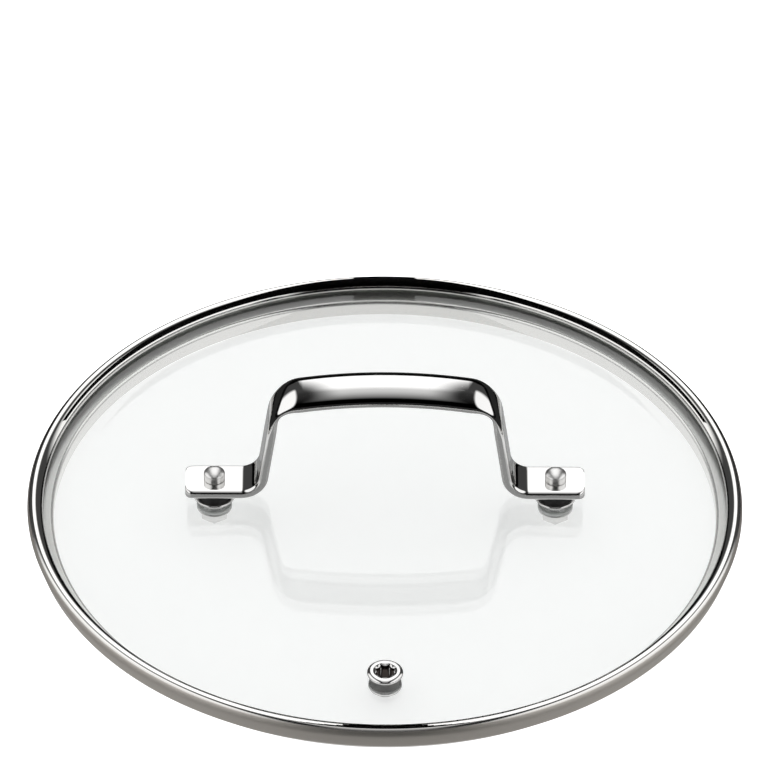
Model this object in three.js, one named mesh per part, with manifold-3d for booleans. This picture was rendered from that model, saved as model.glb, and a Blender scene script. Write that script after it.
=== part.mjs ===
// Tempered glass saucepan lid: a domed disc folded into a stainless band, with a bow handle
// and a steam vent. Millimetres, +Z up. The origin is the centre of the circle that the
// band's foot stands on, the handle runs along X, and the vent lies towards -Y.

import * as THREE from 'three';
import { mergeVertices } from 'three/addons/utils/BufferGeometryUtils.js';
import Module from 'manifold-3d';

const wasm = await Module();
wasm.setup();

// ---- driving dimensions ----------------------------------------------------------------

const ROUND_STEPS = 64;        // sides of a full circle on the large rings
const SMALL_STEPS = 24;        // sides of a full circle on washers, studs and the like

// glass
const GLASS_R = 97.8;
const GLASS_T = 4;
const GLASS_TOP = 11.8;        // height of the dome's crown above the foot
const DOME_R = 1663;           // sphere radius of the dome
const EDGE_ROUND = 1.2;        // ground edge

// stainless band
const SHEET = 0.5;
const CREST_R = 98.5;          // radius of the rolled lip's crest
const CREST_Z = 11.4;
const LIP_HALF = 2.6;          // centre line half widths of the roll, inwards and outwards
const ROLL_HALF = 1.4;
const ROLL_RISE = 1.9;
const LIP_DROP = 0.15;         // straight end of the lip, down towards the glass
const WALL_FOOT_R = 98.3;      // centre line radius at the foot of the outer wall
const SEAT_Z = 4.5;            // centre line height of the seat under the glass
const SEAT_BEND = 0.8;
const FLANGE_R = 92.75;        // centre line radius of the flange that enters the pan
const HEM_FOLD = 1.2;          // width of the folded foot between centre lines
const HEM_BEVEL = 0.35;
const HEM_RISE = 0.7;

// silicone bedding, widening upwards between the glass's edge and the leaning wall
const SEAL_BOTTOM = 6;
const SEAL_TOP = 8.5;
const SEAL_FOOT = 0.4;
const SEAL_HEAD = 1.2;

// handle
const STRAP_W = 12.4;
const STRAP_T = 2.6;
const FOOT_END = 55.8;         // half of the handle's overall length
const FOOT_CORNER = 2;
const FOOT_LIFT = 3.7;         // clear height of the foot above the glass
const FOOT_BEND = 6.8;         // centre line radii of the two bends
const TOP_BEND = 8.5;
const LEG_X = 34.7;            // where the leg's centre line meets the foot's
const LEG_LEAN = 0.142;        // inward lean of the leg, per unit of height
const GRIP_RISE = 38.8;        // centre of the grip above the glass
const GRIP_ARCH = 140;         // radius of the grip's arch
const GRIP_W = 13;
const GRIP_T = 6.4;
const GRIP_HALF = 21;          // half length of the grip at full thickness
const GRIP_END = 31;           // where the strap starts to swell into the grip
const STRAP_POWER = 0.1;       // powers of the two sections: 0 is a rectangle,
const GRIP_POWER = 0.9;        // and 1 an ellipse
const HANDLE_SIDES = 16;

// handle fixings
const STUD_X = 47.7;
const STUD_R = 2.4;
const STUD_HOLE_R = 2.7;
const STUD_HEAD_R = 2.95;
const STUD_WALL = 1.6;         // straight side of the head, below its dome
const STUD_DOME = 1.4;
const GLASS_HOLE_R = 4;
const CUP_R = 5.9;
const CUP_BASE = 0.3;
const CUP_H = 0.65;
const PAD_R = 4.85;
const LOWER_R = 4.9;
const NUT_FLATS = 7;
const NUT_H = 2.8;
const NUT_DOME = 0.8;

// vent
const VENT_Y = -75.5;
const VENT_BORE_R = 2.65;
const VENT_BARREL_R = 3.3;
const VENT_FLANGE_R = 4.95;
const VENT_RISE = 1.9;         // top of the eyelet above the glass
const VENT_HOLE_R = 4.2;

const GAP = 0.05;              // between parts that touch face to face

// ---- materials -------------------------------------------------------------------------

const steel = (roughness) => () =>
  new THREE.MeshStandardMaterial({ color: 0xd2d1cd, roughness, metalness: 1 });
const polished = steel(0.12);
const satin = steel(0.35);
const silicone = () =>
  new THREE.MeshStandardMaterial({ color: 0x1d1c1a, roughness: 0.6, metalness: 0 });
const glass = () =>
  new THREE.MeshStandardMaterial({
    color: 0xf2f5f2, roughness: 0.03, metalness: 0, transparent: true, opacity: 0.35,
  });

// ---- helpers ---------------------------------------------------------------------------

const point = (r, z) => new THREE.Vector2(r, z);
const glassTop = (r) => GLASS_TOP - (r * r) / (2 * DOME_R);
const glassBottom = (r) => glassTop(r) - GLASS_T;

// Six times the volume inside a closed triangle mesh, negative when its faces point inwards.
function signedVolume(position, triangles) {
  const corners = [0, 1, 2].map(() => new THREE.Vector3());
  let volume = 0;
  for (let i = 0; i < triangles.length; i += 3) {
    corners.forEach((corner, k) => corner.fromBufferAttribute(position, triangles[i + k]));
    volume += corners[0].dot(corners[1].cross(corners[2]));
  }
  return volume;
}

function toManifold(geometry) {
  const bare = geometry.clone();
  bare.deleteAttribute('normal');
  bare.deleteAttribute('uv');
  const merged = mergeVertices(bare, 1e-4);
  const index = merged.index.array;
  const triangles = [];
  for (let i = 0; i < index.length; i += 3) {
    const corners = [index[i], index[i + 1], index[i + 2]];
    if (new Set(corners).size === 3) triangles.push(...corners);
  }
  if (signedVolume(merged.attributes.position, triangles) < 0) triangles.reverse();
  return new wasm.Manifold(new wasm.Mesh({
    numProp: 3,
    vertProperties: new Float32Array(merged.attributes.position.array),
    triVerts: new Uint32Array(triangles),
  }));
}

function toGeometry(manifold) {
  const mesh = manifold.getMesh();
  const geometry = new THREE.BufferGeometry();
  geometry.setAttribute('position', new THREE.BufferAttribute(mesh.vertProperties, 3));
  geometry.setIndex(new THREE.BufferAttribute(mesh.triVerts, 1));
  geometry.computeVertexNormals();
  return geometry;
}

// A body turned about Z from an (r, z) outline that closes on itself or on the axis.
function turned(outline, steps) {
  const points = outline.slice();
  if (points[0].x > 0) points.push(points[0].clone());
  return toManifold(new THREE.LatheGeometry(points, steps).rotateX(Math.PI / 2));
}

// A plain ring or disc between two radii and two heights.
function ring(inner, outer, bottom, top) {
  const outline = [point(inner, bottom), point(outer, bottom), point(outer, top), point(inner, top)];
  return turned(outline, SMALL_STEPS);
}

function hole(radius, x, y) {
  const drill = new THREE.CylinderGeometry(radius, radius, 60, SMALL_STEPS);
  return toManifold(drill.rotateX(Math.PI / 2).translate(x, y, 0));
}

// The outline of a bent sheet: its centre line offset by half the sheet to each side, with
// mitred corners, so that straight stretches stay parallel to the centre line.
function sheetOutline(line, thickness) {
  const normals = line.slice(1).map((end, i) => {
    const along = end.clone().sub(line[i]).normalize();
    return point(-along.y, along.x);
  });
  const left = [];
  const right = [];
  line.forEach((here, i) => {
    const before = normals[Math.max(i - 1, 0)];
    const after = normals[Math.min(i, normals.length - 1)];
    const scale = thickness / 2 / (1 + before.dot(after));
    const offset = before.clone().add(after).multiplyScalar(scale);
    left.push(here.clone().add(offset));
    right.unshift(here.clone().sub(offset));
  });
  return [...left, ...right];
}

// Points of a path, with the doubled points where two pieces of it meet taken out.
function pathPoints(path, divisions) {
  const all = path.getPoints(divisions);
  return all.filter((p, i) => i === 0 || p.distanceTo(all[i - 1]) > 1e-4);
}

// ---- glass -----------------------------------------------------------------------------

function glassDisc() {
  const outline = [];
  const rings = 4;
  const flatR = GLASS_R - EDGE_ROUND;
  for (let i = 0; i <= rings; i += 1) {
    const r = (flatR * i) / rings;
    outline.push(point(r, glassBottom(r)));
  }
  outline.push(point(GLASS_R, glassBottom(GLASS_R) + EDGE_ROUND));
  outline.push(point(GLASS_R, glassTop(GLASS_R) - EDGE_ROUND));
  for (let i = rings; i >= 0; i -= 1) {
    const r = (flatR * i) / rings;
    outline.push(point(r, glassTop(r)));
  }
  return turned(outline, ROUND_STEPS)
    .subtract(hole(GLASS_HOLE_R, STUD_X, 0))
    .subtract(hole(GLASS_HOLE_R, -STUD_X, 0))
    .subtract(hole(VENT_HOLE_R, 0, VENT_Y));
}

// ---- stainless band --------------------------------------------------------------------

function bandLine() {
  const rollZ = CREST_Z - SHEET / 2 - ROLL_RISE;
  const footZ = SHEET / 2;
  const hemOut = FLANGE_R + HEM_FOLD;
  const path = new THREE.Path();
  path.moveTo(CREST_R - LIP_HALF, rollZ - LIP_DROP);
  path.absellipse(CREST_R, rollZ, LIP_HALF, ROLL_RISE, Math.PI, Math.PI / 2, true);
  path.absellipse(CREST_R, rollZ, ROLL_HALF, ROLL_RISE, Math.PI / 2, 0, true);
  path.lineTo(WALL_FOOT_R + 0.35, SEAT_Z + SEAT_BEND);
  path.lineTo(WALL_FOOT_R - SEAT_BEND, SEAT_Z);
  path.lineTo(FLANGE_R + SEAT_BEND, SEAT_Z);
  path.absarc(FLANGE_R + SEAT_BEND, SEAT_Z - SEAT_BEND, SEAT_BEND, Math.PI / 2, Math.PI, false);
  path.lineTo(FLANGE_R, footZ + HEM_BEVEL);
  path.lineTo(FLANGE_R + HEM_BEVEL, footZ);
  path.lineTo(hemOut - HEM_BEVEL, footZ);
  path.lineTo(hemOut, footZ + HEM_BEVEL);
  path.lineTo(hemOut, footZ + HEM_BEVEL + HEM_RISE);
  return pathPoints(path, 1);
}

function rimBand() {
  return turned(sheetOutline(bandLine(), SHEET), ROUND_STEPS);
}

// Silicone bedding between the glass's edge and the band's wall.
function rimSeal() {
  const inner = GLASS_R + 0.15;
  return turned([
    point(inner, SEAL_BOTTOM), point(inner + SEAL_FOOT, SEAL_BOTTOM),
    point(inner + SEAL_HEAD, SEAL_TOP), point(inner, SEAL_TOP),
  ], ROUND_STEPS);
}

// ---- handle ----------------------------------------------------------------------------

const footUnder = glassTop(STUD_X) + FOOT_LIFT;
const footTop = footUnder + STRAP_T;
const footMid = footUnder + STRAP_T / 2;
const gripMid = glassTop(STUD_X) + GRIP_RISE;

// Centre line of the right half of the strap in (x, z), from the foot's end to the middle.
function handleLine() {
  const lean = Math.atan(LEG_LEAN);
  const legDir = point(-Math.sin(lean), Math.cos(lean));
  const footStart = LEG_X + FOOT_BEND * Math.tan((Math.PI / 2 - lean) / 2);
  const footCentre = point(footStart, footMid + FOOT_BEND);
  const archCentre = gripMid - GRIP_ARCH;
  // the top bend's arc touches the leg's line and lies inside the grip's arch
  const legNormal = point(legDir.y, -legDir.x);
  const legOffset = legNormal.dot(point(LEG_X, footMid)) - TOP_BEND;
  const reach = GRIP_ARCH - TOP_BEND;
  const distance = legOffset - legNormal.dot(point(0, archCentre));
  const alongLeg = Math.sqrt(reach * reach - distance * distance);
  const topCentre = point(0, archCentre)
    .add(legNormal.clone().multiplyScalar(distance))
    .add(legDir.clone().multiplyScalar(alongLeg));
  const archAngle = Math.atan2(topCentre.y - archCentre, topCentre.x);
  const path = new THREE.Path();
  path.moveTo(FOOT_END, footMid);
  path.lineTo(footStart, footMid);
  path.absarc(footCentre.x, footCentre.y, FOOT_BEND, -Math.PI / 2, -Math.PI + lean, true);
  path.absarc(topCentre.x, topCentre.y, TOP_BEND, lean, archAngle, false);
  path.absarc(0, archCentre, GRIP_ARCH, archAngle, Math.PI / 2, false);
  return path;
}

// Places along the whole handle, each with its point, outward normal and section.
function handleStations() {
  const cornerCuts = [0, 0.2, 0.6, 1.2, FOOT_CORNER];
  const steps = [0, 5, 3, 6, 7];
  const half = [];
  let travelled = 0;
  const curves = handleLine().curves.filter((curve) => curve.getLength() > GAP);
  curves.forEach((curve, i) => {
    const length = curve.getLength();
    const cuts = i === 0
      ? cornerCuts.map((cut) => cut / length)
      : Array.from({ length: steps[i] }, (_, k) => k / steps[i]);
    cuts.forEach((u) => half.push(handleStation(curve, u, travelled + u * length)));
    travelled += length;
    if (i === steps.length - 1) half.push(handleStation(curve, 1, travelled));
  });
  const mirrored = half.slice(0, -1).reverse();
  return [...half, ...mirrored.map((s) => ({ ...s, x: -s.x, outX: -s.outX }))];
}

function handleStation(curve, u, distance) {
  const { x, y: z } = curve.getPointAt(u);
  const heading = curve.getTangentAt(u);
  const tuck = Math.max(FOOT_CORNER - distance, 0);
  const corner = FOOT_CORNER - Math.sqrt(FOOT_CORNER * FOOT_CORNER - tuck * tuck);
  const grip = 1 - THREE.MathUtils.smoothstep(x, GRIP_HALF, GRIP_END);
  return {
    x,
    z,
    outX: heading.y,
    outZ: -heading.x,
    halfWidth: THREE.MathUtils.lerp(STRAP_W / 2 - corner, GRIP_W / 2, grip),
    halfThickness: THREE.MathUtils.lerp(STRAP_T / 2, GRIP_T / 2, grip),
    power: THREE.MathUtils.lerp(STRAP_POWER, GRIP_POWER, grip),
  };
}

// A signed power, which turns a circle's points into a squarer superellipse's.
function toPower(value, power) {
  return Math.abs(value) < 1e-6 ? 0 : Math.sign(value) * Math.abs(value) ** power;
}

// The bent strap: a closed cylinder whose rings are laid along the handle's line.
function bowHandle() {
  const stations = handleStations();
  const last = stations.length - 1;
  const geometry = new THREE.CylinderGeometry(1, 1, 1, HANDLE_SIDES, last);
  const position = geometry.attributes.position;
  for (let i = 0; i < position.count; i += 1) {
    const station = stations[Math.round((position.getY(i) + 0.5) * last)];
    const across = toPower(position.getX(i), station.power) * station.halfWidth;
    const out = toPower(position.getZ(i), station.power) * station.halfThickness;
    position.setXYZ(i, station.x + station.outX * out, across, station.z + station.outZ * out);
  }
  return toManifold(geometry)
    .subtract(hole(STUD_HOLE_R, STUD_X, 0))
    .subtract(hole(STUD_HOLE_R, -STUD_X, 0));
}

// ---- handle fixings --------------------------------------------------------------------

// Stud: a domed head above the foot, and a shank through foot, glass and nut.
function stud() {
  const headZ = footTop + GAP;
  const shankEnd = nutBottom + NUT_DOME + 0.4;
  const outline = new THREE.Path();
  outline.moveTo(0, shankEnd);
  outline.lineTo(STUD_R, shankEnd);
  outline.lineTo(STUD_R, headZ);
  outline.lineTo(STUD_HEAD_R, headZ);
  outline.lineTo(STUD_HEAD_R, headZ + STUD_WALL);
  outline.absellipse(0, headZ + STUD_WALL, STUD_HEAD_R, STUD_DOME, 0, Math.PI / 2);
  return turned(pathPoints(outline, 2), SMALL_STEPS);
}

const cupBottom = glassTop(STUD_X - CUP_R) + GAP;
const cupTop = cupBottom + CUP_H;
const lowerPadTop = glassBottom(STUD_X + LOWER_R) - GAP;
const lowerPadBottom = lowerPadTop - 1.1;
const lowerWasherTop = lowerPadBottom - GAP;
const lowerWasherBottom = lowerWasherTop - 0.7;
const nutTop = lowerWasherBottom - GAP;
const nutBottom = nutTop - NUT_H - NUT_DOME;

// Shallow steel cup: its base lies on the glass and its lip holds the pad.
function cupWasher() {
  const inner = STUD_R + 0.3;
  const lip = PAD_R + 0.15;
  const bevel = 0.2;
  return turned([
    point(inner, cupBottom), point(CUP_R, cupBottom), point(CUP_R, cupTop - bevel),
    point(CUP_R - bevel, cupTop), point(lip, cupTop), point(lip, cupBottom + CUP_BASE),
    point(inner, cupBottom + CUP_BASE),
  ], SMALL_STEPS);
}

function upperPad() {
  return ring(STUD_R + 0.3, PAD_R, cupBottom + CUP_BASE + GAP, footUnder - GAP);
}

// Silicone sleeve in the glass hole.
function bush() {
  return ring(STUD_R + 0.3, GLASS_HOLE_R - 0.2, lowerPadTop, cupBottom - GAP);
}

function lowerPad() {
  return ring(STUD_R + 0.3, LOWER_R, lowerPadBottom, lowerPadTop - GAP);
}

function lowerWasher() {
  return ring(STUD_R + 0.2, LOWER_R, lowerWasherBottom, lowerWasherTop);
}

// Low cap nut: six flats, a shallow dome below, and a blind bore from above.
function capNut() {
  const corner = NUT_FLATS / Math.sqrt(3);
  const prism = new THREE.CylinderGeometry(corner, corner, NUT_H + NUT_DOME, 6);
  const middle = (nutTop + nutBottom) / 2;
  const hex = toManifold(prism.rotateX(Math.PI / 2).translate(0, 0, middle));
  const path = new THREE.Path();
  path.moveTo(0, nutBottom);
  path.quadraticCurveTo(corner * 0.75, nutBottom, corner, nutBottom + NUT_DOME);
  path.lineTo(corner + 0.5, nutTop + 1);
  path.lineTo(0, nutTop + 1);
  const bowl = turned(pathPoints(path, 5), SMALL_STEPS);
  const boreBottom = nutBottom + NUT_DOME + 0.2;
  const bore = new THREE.CylinderGeometry(STUD_R + GAP, STUD_R + GAP, 10, SMALL_STEPS);
  const drill = toManifold(bore.rotateX(Math.PI / 2).translate(0, 0, boreBottom + 5));
  return hex.intersect(bowl).subtract(drill);
}

// ---- steam vent ------------------------------------------------------------------------

// the glass slopes here, so level faces clear it by its rise across the flange
const ventTilt = VENT_FLANGE_R / DOME_R * Math.abs(VENT_Y) + GAP;
const ventGlassTop = glassTop(VENT_Y) + ventTilt;
const ventGlassBottom = glassBottom(VENT_Y) - ventTilt;
const gasketTop = ventGlassTop + 0.4;
const gasketBottom = ventGlassBottom - 0.45;
const ventWasherBottom = gasketBottom - GAP - 0.6;

// Eyelet: a rolled flange above, a barrel, and a crimp turned out below.
function ventEyelet() {
  const top = glassTop(VENT_Y) + VENT_RISE;
  const under = gasketTop + GAP;
  const crimpTop = ventWasherBottom - GAP;
  const path = new THREE.Path();
  path.moveTo(VENT_BARREL_R, under);
  path.lineTo(VENT_FLANGE_R - 0.35, under);
  path.lineTo(VENT_FLANGE_R, under + 0.35);
  const middle = (VENT_FLANGE_R + VENT_BORE_R) / 2;
  const rollR = (VENT_FLANGE_R - VENT_BORE_R) / 2;
  const rollZ = under + 0.5;
  path.absellipse(middle, rollZ, rollR, top - rollZ, 0, Math.PI);
  path.lineTo(VENT_BORE_R, crimpTop - 0.3);
  path.lineTo(VENT_BORE_R + 0.4, crimpTop - 0.6);
  path.lineTo(VENT_FLANGE_R - 0.6, crimpTop - 0.6);
  path.lineTo(VENT_FLANGE_R - 0.6, crimpTop);
  path.lineTo(VENT_BARREL_R, crimpTop);
  return turned(pathPoints(path, 4), SMALL_STEPS);
}

// Silicone grommet that keeps the eyelet off the glass.
function ventGasket() {
  const inner = VENT_BARREL_R + 0.1;
  const sleeve = VENT_HOLE_R - 0.2;
  const flange = VENT_FLANGE_R - 0.45;
  return turned([
    point(inner, gasketBottom), point(flange, gasketBottom), point(flange, ventGlassBottom),
    point(sleeve, ventGlassBottom), point(sleeve, ventGlassTop), point(flange, ventGlassTop),
    point(flange, gasketTop), point(inner, gasketTop),
  ], SMALL_STEPS);
}

function ventWasher() {
  return ring(VENT_BARREL_R + 0.1, VENT_FLANGE_R - 0.35, ventWasherBottom, gasketBottom - GAP);
}

// ---- assembly --------------------------------------------------------------------------

const lid = new THREE.Group();

function add(parent, name, body, material) {
  const mesh = new THREE.Mesh(toGeometry(body), material());
  mesh.name = name;
  parent.add(mesh);
}

add(lid, 'glass_disc', glassDisc(), glass);
add(lid, 'rim_band', rimBand(), satin);
add(lid, 'rim_seal', rimSeal(), silicone);
add(lid, 'bow_handle', bowHandle(), polished);

[['left', -1], ['right', 1]].forEach(([side, sign]) => {
  const fixing = new THREE.Group();
  fixing.position.x = sign * STUD_X;
  add(fixing, `stud_${side}`, stud(), polished);
  add(fixing, `upper_pad_${side}`, upperPad(), silicone);
  add(fixing, `cup_washer_${side}`, cupWasher(), polished);
  add(fixing, `bush_${side}`, bush(), silicone);
  add(fixing, `lower_pad_${side}`, lowerPad(), silicone);
  add(fixing, `lower_washer_${side}`, lowerWasher(), polished);
  add(fixing, `cap_nut_${side}`, capNut(), polished);
  lid.add(fixing);
});

const vent = new THREE.Group();
vent.position.y = VENT_Y;
add(vent, 'vent_eyelet', ventEyelet(), polished);
add(vent, 'vent_gasket', ventGasket(), silicone);
add(vent, 'vent_washer', ventWasher(), polished);
lid.add(vent);

export default lid;
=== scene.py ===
"""Glass saucepan lid: a domed tempered disc in a rolled steel band, a bow handle and a steam vent.

Everything is in metres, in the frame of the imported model. Z is up, the handle runs along X,
and the vent lies towards -Y.
"""

import math

import bmesh
import bpy
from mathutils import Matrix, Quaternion, Vector


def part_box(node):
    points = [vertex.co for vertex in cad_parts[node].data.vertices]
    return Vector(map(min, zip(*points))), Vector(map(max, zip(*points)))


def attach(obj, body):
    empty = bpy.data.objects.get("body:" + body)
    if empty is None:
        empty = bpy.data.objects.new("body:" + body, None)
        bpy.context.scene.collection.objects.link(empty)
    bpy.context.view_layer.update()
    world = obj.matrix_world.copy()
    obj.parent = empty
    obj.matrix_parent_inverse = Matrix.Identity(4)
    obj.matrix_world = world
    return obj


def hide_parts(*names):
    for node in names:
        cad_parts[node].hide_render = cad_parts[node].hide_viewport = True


bl_info = {
    "name": "Glass saucepan lid",
    "version": (1, 0, 0),
    "blender": (4, 5, 0),
    "location": "3D View > Sidebar > Lid",
    "description": "A domed glass lid with a steel band, a bow handle and a steam vent",
    "category": "Add Mesh",
}

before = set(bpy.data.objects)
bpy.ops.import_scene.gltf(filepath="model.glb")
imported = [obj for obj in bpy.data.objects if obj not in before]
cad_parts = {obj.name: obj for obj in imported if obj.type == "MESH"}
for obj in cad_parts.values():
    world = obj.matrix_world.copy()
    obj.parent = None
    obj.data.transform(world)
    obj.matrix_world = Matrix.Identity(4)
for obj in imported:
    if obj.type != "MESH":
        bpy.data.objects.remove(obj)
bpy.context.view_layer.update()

MM = 0.001
GLASS_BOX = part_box("glass_disc")
BAND_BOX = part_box("rim_band")
BOW_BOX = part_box("bow_handle")
STUD_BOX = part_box("stud_right")
VENT_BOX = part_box("vent_eyelet")
STUD_X = (STUD_BOX[0].x + STUD_BOX[1].x) / 2
VENT_Y = (VENT_BOX[0].y + VENT_BOX[1].y) / 2
SIDES = ("left", "right")
OVAL_POWER = 0.94  # 1 is an ellipse, and less is squarer


# What mirrors see of the floor, a painted reflection: (distance from the middle / reach, level).
MIRRORED_REACH = 0.2
MIRRORED_FLOOR = ((0.0, 0.34), (0.36, 0.36), (0.42, 0.85), (0.47, 0.85), (0.495, 0.42),
                  (0.54, 0.42), (0.64, 0.02), (1.0, 0.02))
# The main soft box: (half turns up from the back of the studio, level).
MAIN_BOX = ((0.0, 1.0), (0.345, 1.0), (0.43, 0.56), (0.5, 0.48), (0.62, 0.26),
            (0.715, 0.11), (0.78, 0.0), (1.0, 0.0))
BOX_STRENGTH = 1.75
# Section of the black card over the far rim, in millimetres (r, z).
CARD_REACH = 105.5
CARD_LINE = ((CARD_REACH, 2), (CARD_REACH, 14), (104, 18), (102, 19.2), (100, 20), (98, 20),
             (95, 19.5), (91, 17.5), (89.5, 15))


# ---- sizes and colours ------------------------------------------------------------------


def length(name, description, default):
    return bpy.props.FloatProperty(
        name=name, description=description, default=default, unit="LENGTH", precision=5
    )


def share(name, description, default):
    return bpy.props.FloatProperty(
        name=name, description=description, default=default, subtype="FACTOR", min=0, max=1
    )


def colour(name, description, default):
    return bpy.props.FloatVectorProperty(
        name=name, description=description, default=default, subtype="COLOR", size=3, min=0, max=1
    )


class LidGlassSettings(bpy.types.PropertyGroup):
    thickness: length("Thickness", "Thickness of the glass", 4 * MM)
    dome_radius: length("Dome radius", "Radius of the sphere that the dome is part of", 1663 * MM)
    edge_round: length("Edge round", "Radius of the ground edge", 1.2 * MM)
    stud_hole: length("Stud hole", "Radius of the two holes for the handle", 4 * MM)
    vent_hole: length("Vent hole", "Radius of the hole for the vent", 3.97 * MM)
    tint: colour("Tint", "Colour of light that has passed through the disc", (0.905, 0.915, 0.91))
    edge_tint: colour("Edge tint", "Colour of the disc near its ground edge", (0.8, 0.84, 0.82))


class LidBandSettings(bpy.types.PropertyGroup):
    sheet: length("Sheet", "Thickness of the steel sheet", 0.5 * MM)
    lip_reach: length("Lip reach", "How far the rolled lip comes in over the glass", 2.6 * MM)
    roll_out: length("Roll", "How far the roll falls outwards from its crest", 1.4 * MM)
    roll_rise: length("Roll rise", "Height of the roll", 1.9 * MM)
    wall_lean: length("Wall lean", "How far the wall leans in towards its foot", 1.26 * MM)
    seat_height: length("Seat height", "Height of the seat's middle under the glass", 4.5 * MM)
    flange_radius: length("Flange radius", "Radius of the flange that enters the pan", 92.75 * MM)
    seat_bend: length("Seat bend", "Radius of the bend between seat and flange", 0.8 * MM)
    hem_fold: length("Hem fold", "Width of the folded foot", 1.2 * MM)
    hem_rise: length("Hem rise", "Height of the hem's free leaf", 1.05 * MM)
    steel: colour("Steel", "Colour of the polished roll", (0.83, 0.82, 0.8))
    satin: colour("Satin", "Colour of the brushed wall", (0.72, 0.68, 0.63))


class LidHandleSettings(bpy.types.PropertyGroup):
    strap_width: length("Strap width", "Width of the strap", 12.4 * MM)
    strap_thickness: length("Strap thickness", "Thickness of the strap", 2.6 * MM)
    foot_corner: length("Foot corner", "Radius of the foot's corners", 2 * MM)
    edge_break: length("Edge break", "Radius that the strap's edges are broken to", 0.95 * MM)
    foot_bend: length("Foot bend", "Middle radius of the bend above the foot", 6.8 * MM)
    top_bend: length("Top bend", "Middle radius of the bend below the grip", 8.5 * MM)
    leg_place: length("Leg place", "Where the leg's line meets the foot", 34.7 * MM)
    leg_lean: share("Leg lean", "Inward lean of the leg for each unit of height", 0.142)
    grip_arch: length("Grip arch", "Radius of the grip's arch", 140 * MM)
    grip_width: length("Grip width", "Width of the grip", 13 * MM)
    grip_thickness: length("Grip thickness", "Thickness of the grip", 6.4 * MM)
    grip_droop: length("Grip droop", "How far the grip's widest line lies below its middle", 0.8 * MM)
    grip_half: length("Grip half", "Half length of the grip at its full thickness", 23.5 * MM)
    grip_end: length("Grip end", "Where the strap starts to swell into the grip", 31.5 * MM)
    steel: colour("Steel", "Colour of the polished strap", (0.86, 0.855, 0.845))


class LidFixingSettings(bpy.types.PropertyGroup):
    shank_radius: length("Shank radius", "Radius of the stud's shank", 2.4 * MM)
    head_radius: length("Head radius", "Radius of the stud's head", 2.95 * MM)
    head_wall: length("Head wall", "Straight side of the stud's head", 1.95 * MM)
    pad_radius: length("Pad radius", "Radius of the pad under the foot", 4.85 * MM)
    cup_radius: length("Cup radius", "Radius of the steel cup", 5.9 * MM)
    nut_flats: length("Nut flats", "Size of the cap nut across its flats", 7 * MM)
    nut_dome: length("Nut dome", "Height of the cap nut's dome", 0.8 * MM)
    silicone: colour("Black silicone", "Colour of the pads under the foot", (0.012, 0.012, 0.012))
    clear: colour("Clear silicone", "Colour of the bedding and the lower pads", (0.62, 0.63, 0.62))
    smoke: colour("Grey silicone", "Colour of the vent's grommet", (0.27, 0.27, 0.265))


class LidVentSettings(bpy.types.PropertyGroup):
    bore: length("Bore", "Radius of the eyelet's bore", 2.65 * MM)
    barrel: length("Barrel", "Outer radius of the eyelet's barrel", 3.3 * MM)
    flange: length("Flange", "Radius of the rolled flange", 4.95 * MM)
    petals: bpy.props.IntProperty(
        name="Petals", description="How many petals the crimp has", default=8, min=3
    )
    petal_depth: length("Petal depth", "How far the petals stand into the bore", 0.55 * MM)


class LidStageSettings(bpy.types.PropertyGroup):
    floor_radius: length("Floor radius", "Radius of the pale floor", 3.0)
    camera_distance: length("Camera distance", "Distance of the camera from the lid", 2.5)
    camera_height: bpy.props.FloatProperty(
        name="Camera elevation", description="Angle of the camera above the floor",
        default=math.radians(39.72), subtype="ANGLE",
    )
    camera_turn: bpy.props.FloatProperty(
        name="Camera turn", description="How far the camera stands round from the vent",
        default=math.radians(-0.3), subtype="ANGLE",
    )
    camera_roll: bpy.props.FloatProperty(
        name="Camera roll", description="Roll of the camera about its own line of sight",
        default=math.radians(0.38), subtype="ANGLE",
    )
    lens: bpy.props.FloatProperty(
        name="Lens", description="Focal length of the camera", default=417.4, unit="CAMERA"
    )
    aim_rise: length("Aim rise", "How far above the lid's middle the camera aims", 30.8 * MM)


SETTINGS = {
    "lid_glass": LidGlassSettings,
    "lid_band": LidBandSettings,
    "lid_handle": LidHandleSettings,
    "lid_fixings": LidFixingSettings,
    "lid_vent": LidVentSettings,
    "lid_stage": LidStageSettings,
}


def glass_top(r):
    """Height of the glass's upper face at a distance from the middle."""
    return GLASS_BOX[1].z - r * r / (2 * bpy.context.scene.lid_glass.dome_radius)


def glass_under(r):
    return glass_top(r) - bpy.context.scene.lid_glass.thickness


# ---- modelling helpers ------------------------------------------------------------------


def start():
    """Object mode, with nothing selected."""
    if bpy.context.object and bpy.context.object.mode != "OBJECT":
        bpy.ops.object.mode_set(mode="OBJECT")
    bpy.ops.object.select_all(action="DESELECT")


def modifier(kind, **values):
    bpy.ops.object.modifier_add(type=kind)
    added = bpy.context.object.modifiers[-1]
    for name, value in values.items():
        setattr(added, name, value)
    bpy.ops.object.modifier_apply(modifier=added.name)


def select_where(test, domain="FACE"):
    """In edit mode, selects the faces, edges or vertices whose middle passes the test."""
    bpy.ops.mesh.select_mode(type="VERT" if domain == "VERT" else domain)
    bpy.ops.mesh.select_all(action="DESELECT")
    mesh = bmesh.from_edit_mesh(bpy.context.object.data)
    if domain == "VERT":
        for v in mesh.verts:
            v.select_set(test(v.co))
    elif domain == "EDGE":
        for e in mesh.edges:
            e.select_set(test((e.verts[0].co + e.verts[1].co) / 2))
    else:
        for f in mesh.faces:
            f.select_set(test(f.calc_center_median()))
    mesh.select_flush_mode()
    bmesh.update_edit_mesh(bpy.context.object.data)


def close_up(angle=40):
    """Leaves edit mode with doubled points merged, faces outwards and soft shading."""
    bpy.ops.mesh.select_all(action="SELECT")
    bpy.ops.mesh.remove_doubles(threshold=1e-7)
    bpy.ops.mesh.normals_make_consistent(inside=False)
    bpy.ops.object.mode_set(mode="OBJECT")
    bpy.ops.object.shade_smooth_by_angle(angle=math.radians(angle))


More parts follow.
